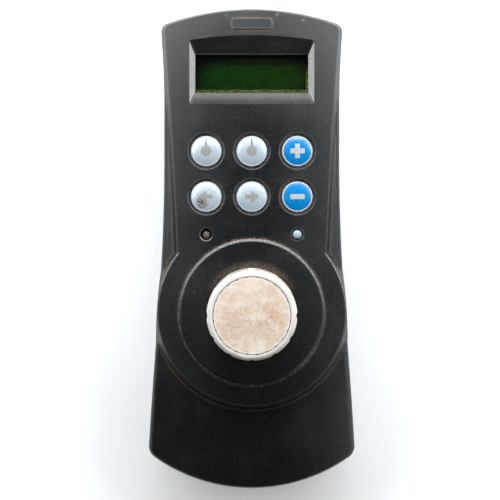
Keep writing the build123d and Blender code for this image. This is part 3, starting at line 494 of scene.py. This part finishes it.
def lcd_face():
    """Green display, blackish towards its edges, with a gritty yellow line at the lower and right ones, and a
    faint painted glow that is strongest on that line.
    """
    f = Finish("lcd_face", IOR=1.4)
    x, y = f.axes()[:2]
    along = f.math("DIVIDE", f.math("SUBTRACT", x, DISPLAY.x + 0.6 * MM), WINDOW_HALF_W * 1.06)
    across = f.math("DIVIDE", f.math("SUBTRACT", y, DISPLAY.y - 2.6 * MM), WINDOW_HALF_H * 1.25)
    spread = f.math(
        "ADD", f.math("POWER", f.magnitude(along), 3.5), f.math("POWER", f.magnitude(across), 2.2),
    )
    cloud = f.ramp(f.noise(4 * MM, 3.0), 0.3, 0.7, 0.75, 1.0)
    green = f.mix(f.ramp(x, -14 * MM, 12 * MM), LCD_GREEN, LCD_YELLOW_GREEN)
    colour = f.mix(f.times(f.ramp(spread, 1.35, 0.0), cloud), LCD_BLACK, green)
    speckle = f.ramp(f.noise(0.35 * MM, 3.0, 0.7, stretch=(1.6, 1, 1)), 0.42, 0.62)
    low_line = f.near(y, DISPLAY.y - WINDOW_HALF_H + 1.6 * MM, 1.1 * MM)
    right_line = f.times(
        f.near(x, DISPLAY.x + WINDOW_HALF_W - 0.2 * MM, 0.9 * MM),
        f.ramp(y, DISPLAY.y + 5 * MM, DISPLAY.y + 1 * MM),
    )
    gold = f.times(f.either(low_line, right_line), speckle)
    colour = f.mix(gold, colour, LCD_GOLD)
    # painted light: the display glows faintly, and its yellow line more, though nothing in it is a lamp
    return f.set(
        Base_Color=colour, Roughness=f.ramp(gold, 0.0, 1.0, 0.22, 0.6), Emission_Color=colour,
        Emission_Strength=f.math("ADD", 0.03, f.times(gold, 0.35)),
    )


# ------------------------------------------------------------------ other parts
def moulded(name, colour, light, roughness, size=1.5 * MM, **uniform):
    """A moulded or painted part: two close colours in patches, with a fine surface."""
    f = Finish(name, **uniform)
    patches = f.noise(size, 4.0, 0.6)
    dust = f.times(f.ramp(f.corners(0.6 * MM), 0.15, 0.45), 0.35)
    tint = f.mix(f.ramp(patches, 0.35, 0.7), colour, light)
    f.relief((f.noise(size / 6, 2.0), 0.008 * MM))
    return f.set(
        Base_Color=f.mix(dust, tint, DARK_DUST),
        Roughness=f.ramp(patches, 0.3, 0.7, roughness * 0.85, roughness * 1.15),
    )


def metal(name, colour, dark, roughness):
    """Bare metal with drawn tool marks and a little tarnish."""
    f = Finish(name, Metallic=1.0)
    marks = f.noise(0.25 * MM, 2.0, stretch=(1, 1, 14))
    tarnish = f.ramp(f.noise(1.4 * MM, 4.0, 0.6), 0.45, 0.75, 0.0, 0.6)
    f.relief((marks, 0.006 * MM))
    return f.set(
        Base_Color=f.mix(tarnish, colour, dark),
        Roughness=f.ramp(marks, 0.3, 0.7, roughness, roughness + 0.16),
    )


def label_foil():
    """Satin foil label with a dark printed border and rules between blank fields."""
    f = Finish("label_foil", Metallic=0.8)
    x, y = f.axes()[:2]
    centre = middle("rear_label")
    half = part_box("rear_label")[1] - centre
    side = f.math("SUBTRACT", half.x, f.apart(x, centre.x))
    end = f.math("SUBTRACT", half.y, f.apart(y, centre.y))
    from_edge = f.math("MINIMUM", side, end)
    border = f.near(from_edge, LABEL_MARGIN, 0.35 * MM)
    inside = f.ramp(from_edge, LABEL_MARGIN, LABEL_MARGIN + 0.1 * MM)
    from_rule = f.math("PINGPONG", f.math("SUBTRACT", y, centre.y), LABEL_RULE_PITCH)
    rules = f.times(inside, f.near(from_rule, 0.0, 0.22 * MM))
    scratches = f.ramp(f.noise(0.3 * MM, 3.0, stretch=(12, 1, 1)), 0.62, 0.70, 0.0, 0.5)
    foil = f.mix(scratches, FOIL, FOIL_SCRATCH)
    f.relief((f.noise(0.4 * MM, 3.0), 0.01 * MM))
    return f.set(
        Base_Color=f.mix(f.either(border, rules), foil, FOIL_PRINT),
        Roughness=f.ramp(scratches, 0.0, 0.5, 0.34, 0.55),
    )


# ------------------------------------------------------------------ a finish for each CAD node
chip = moulded("chip", (0.014, 0.014, 0.015), (0.026, 0.026, 0.028), 0.5)
board = moulded("solder_mask", (0.012, 0.085, 0.035), (0.02, 0.12, 0.05), 0.32, size=3 * MM, Coat_Weight=0.4)
steel = metal("steel", (0.56, 0.56, 0.57), (0.30, 0.28, 0.26), 0.28)
brass = metal("brass", (0.72, 0.53, 0.26), (0.42, 0.30, 0.15), 0.26)
tin = metal("tin", (0.68, 0.68, 0.67), (0.42, 0.41, 0.39), 0.24)
gold_pins = metal("gold_pins", (0.80, 0.60, 0.28), (0.55, 0.38, 0.16), 0.20)
seal = moulded("seal_rubber", (0.012, 0.012, 0.012), (0.02, 0.02, 0.02), 0.8)
white_plate = moulded("white_plate", (0.70, 0.70, 0.66), (0.60, 0.60, 0.57), 0.5)
dull_led = moulded(
    "dull_led", (0.115, 0.092, 0.075), (0.19, 0.155, 0.13), 0.42, size=0.8 * MM, Coat_Weight=0.3,
)
pale_led = moulded(
    "pale_led", (0.33, 0.42, 0.47), (0.42, 0.50, 0.54), 0.28, size=1.2 * MM, Coat_Weight=0.5,
    Subsurface_Weight=0.2, Subsurface_Scale=1 * MM,
)
housing = housing_plastic()
rim = key_rim()

FINISHES = {
    "front_cover": housing, "rear_cover": housing, "housing_seal": seal, "rear_label": label_foil(),
    "housing_screws": steel, "cover_inserts": brass, "bracket_inserts": brass, "board_screws": steel,
    "main_board": board, "microcontroller": chip, "voltage_regulator": chip, "filter_capacitors": chip,
    "window_lens": window_plastic(), "lcd_gasket": seal, "lcd_bezel": chip, "lcd_backlight": white_plate,
    "lcd_glass": lcd_face(), "lcd_board": board, "lcd_spacers": brass, "lcd_screws": steel,
    "lcd_header": chip, "switch_bodies": chip, "switch_covers": steel, "switch_terminals": tin,
    "led_left": dull_led, "led_right": pale_led, "led_spacers": chip, "led_leads": tin,
    "encoder_body": chip, "encoder_bushing": tin, "encoder_washer": steel, "encoder_nut": brass,
    "encoder_terminals": tin, "encoder_shaft": steel, "knob": knob_plastic(), "knob_cap": cap_plastic(),
    "knob_collet": brass, "knob_collet_nut": brass, "connector_shell": tin, "connector_body": chip,
    "connector_pins": gold_pins, "connector_jackscrews": steel,
}
FACES = {
    "pointer_left": silver_face, "pointer_right": silver_face, "plus": blue_face,
    "arrow_left": worn_silver_face, "arrow_right": silver_face, "minus": blue_face,
}
for key, face in FACES.items():
    FINISHES[f"key_{key}"] = rim
    FINISHES[f"key_face_{key}"] = face(key)
    FINISHES[f"plunger_{key}"] = chip

for name, finish in FINISHES.items():
    nodes[name].data.materials.clear()
    nodes[name].data.materials.append(finish)


# ------------------------------------------------------------------ printed legends on the keys, in mm
LEGEND_PITCH = 0.35                    # spacing of the cuts that let a legend bend over its dome
DOT_R = 2.15
LINE_START = 2.20
LINE_END = 5.55
LINE_HALF = 0.24
SIGN_REACH = 3.0
SIGN_HALF = 1.03
ARROW_HEAD_HALF = 2.6
ARROW_SHAFT_HALF = 0.85


def rectangle(low_x, low_y, high_x, high_y):
    return [(low_x, low_y), (high_x, low_y), (high_x, high_y), (low_x, high_y)]


def disc(radius, steps=48):
    turn = 2 * math.pi / steps
    return [(radius * math.cos(turn * i), radius * math.sin(turn * i)) for i in range(steps)]


def arrow(tip, head_base, tail):
    """The outline of an arrow along X, from its tip to its tail."""
    head, shaft = ARROW_HEAD_HALF, ARROW_SHAFT_HALF
    return [
        (tip, 0), (head_base, head), (head_base, shaft), (tail, shaft),
        (tail, -shaft), (head_base, -shaft), (head_base, -head),
    ]


def cross(reach, half):
    """The outline of a plus sign, whose arms are a quarter turn apart."""
    corner = [(reach, -half), (reach, half), (half, half)]
    points = []
    for _ in range(4):
        points += corner
        corner = [(-y, x) for x, y in corner]
    return points


def flat_mesh(outline):
    """A flat upward-facing mesh that fills an outline, cut both ways into a grid of small faces."""
    mesh = bmesh.new()
    mesh.faces.new([mesh.verts.new((x, y, 0)) for x, y in outline])
    mesh.normal_update()
    bmesh.ops.triangulate(mesh, faces=mesh.faces[:])
    for axis in range(2):
        low = min(point[axis] for point in outline)
        high = max(point[axis] for point in outline)
        direction = Vector((axis == 0, axis == 1, 0))
        for step in range(1, int((high - low) / LEGEND_PITCH) + 1):
            everything = mesh.verts[:] + mesh.edges[:] + mesh.faces[:]
            cut = direction * (low + step * LEGEND_PITCH)
            bmesh.ops.bisect_plane(mesh, geom=everything, plane_co=cut, plane_no=direction)
    mesh.normal_update()
    bmesh.ops.reverse_faces(mesh, faces=[face for face in mesh.faces if face.normal.z < 0])
    return mesh


def legend(name, key, outline, ink):
    """A thin printed shape that follows the dome of a key. Its outline is measured from the key's centre."""
    mesh = flat_mesh(outline)
    centre, radius = dome(key)
    for vertex in mesh.verts:
        x, y = vertex.co.x * MM, vertex.co.y * MM
        height = math.sqrt(radius**2 - x**2 - y**2) - LEGEND_T / 2
        vertex.co = (centre.x + x, centre.y + y, centre.z + height)
    data = bpy.data.meshes.new(name)
    mesh.to_mesh(data)
    mesh.free()
    data.materials.append(ink)
    piece = bpy.data.objects.new(name, data)
    bpy.context.scene.collection.objects.link(piece)
    thicken = piece.modifiers.new("thickness", "SOLIDIFY")
    thicken.thickness = LEGEND_T
    thicken.offset = 1.0
    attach(piece, f"key_{key}_assembly")


grey_ink = legend_ink("grey_ink", (0.25, 0.24, 0.225), (0.31, 0.30, 0.285))
line_ink = legend_ink("line_ink", (0.030, 0.045, 0.06), (0.06, 0.08, 0.10))
pale_ink = legend_ink("pale_ink", (0.38, 0.42, 0.45), (0.45, 0.48, 0.50))

for key in ("pointer_left", "pointer_right"):
    legend(f"legend_dot_{key}", key, disc(DOT_R), grey_ink)
    legend(f"legend_line_{key}", key, rectangle(-LINE_HALF, LINE_START, LINE_HALF, LINE_END), line_ink)
legend("legend_arrow_left", "arrow_left", arrow(tip=-3.3, head_base=0.1, tail=2.6), grey_ink)
legend("legend_arrow_right", "arrow_right", arrow(tip=3.3, head_base=-0.3, tail=-2.7), grey_ink)
legend("legend_plus", "plus", cross(SIGN_REACH, SIGN_HALF), pale_ink)
legend("legend_minus", "minus", rectangle(-SIGN_REACH, -SIGN_HALF, SIGN_REACH, SIGN_HALF), pale_ink)


# ------------------------------------------------------------------ floor, light and camera
def floor():
    """A white sheet under everything, with a faint glow of its own."""
    f = Finish("floor_paper", Roughness=0.9, Emission_Strength=FLOOR_GLOW, Emission_Color=WHITE)
    f.set(Base_Color=f.mix(f.noise(80 * MM, 2.0), PAPER, PAPER_DULL))
    square = rectangle(-FLOOR_HALF, -FLOOR_HALF, FLOOR_HALF, FLOOR_HALF)
    data = bpy.data.meshes.new("floor")
    data.from_pydata([(x, y, 0) for x, y in square], [], [(0, 1, 2, 3)])
    data.materials.append(f.material)
    piece = bpy.data.objects.new("floor", data)
    bpy.context.scene.collection.objects.link(piece)


def softbox(name, place, size, power):
    """A flat lamp that faces the lit spot and is not itself seen."""
    data = bpy.data.lights.new(name, "AREA")
    data.shape = "RECTANGLE"
    data.size, data.size_y = size
    data.energy = power
    data.color = SKY
    lamp = bpy.data.objects.new(name, data)
    lamp.location = place
    lamp.rotation_euler = (LIT_SPOT - Vector(place)).to_track_quat("-Z", "Y").to_euler()
    lamp.visible_camera = False
    bpy.context.scene.collection.objects.link(lamp)


floor()
for light in LIGHTS:
    softbox(*light)

world = bpy.data.worlds.new("studio")
world.use_nodes = True
background = world.node_tree.nodes["Background"]
background.inputs["Color"].default_value = (*WHITE, 1.0)
background.inputs["Strength"].default_value = WORLD_STRENGTH
bpy.context.scene.world = world
bpy.context.scene.view_settings.view_transform = "Standard"

camera_data = bpy.data.cameras.new("camera")
camera_data.sensor_width = SENSOR
camera_data.lens = SENSOR * EYE_ABOVE_PANEL / VIEW_WIDTH
camera = bpy.data.objects.new("camera", camera_data)
camera.location = EYE
bpy.context.scene.collection.objects.link(camera)
bpy.context.scene.camera = camera
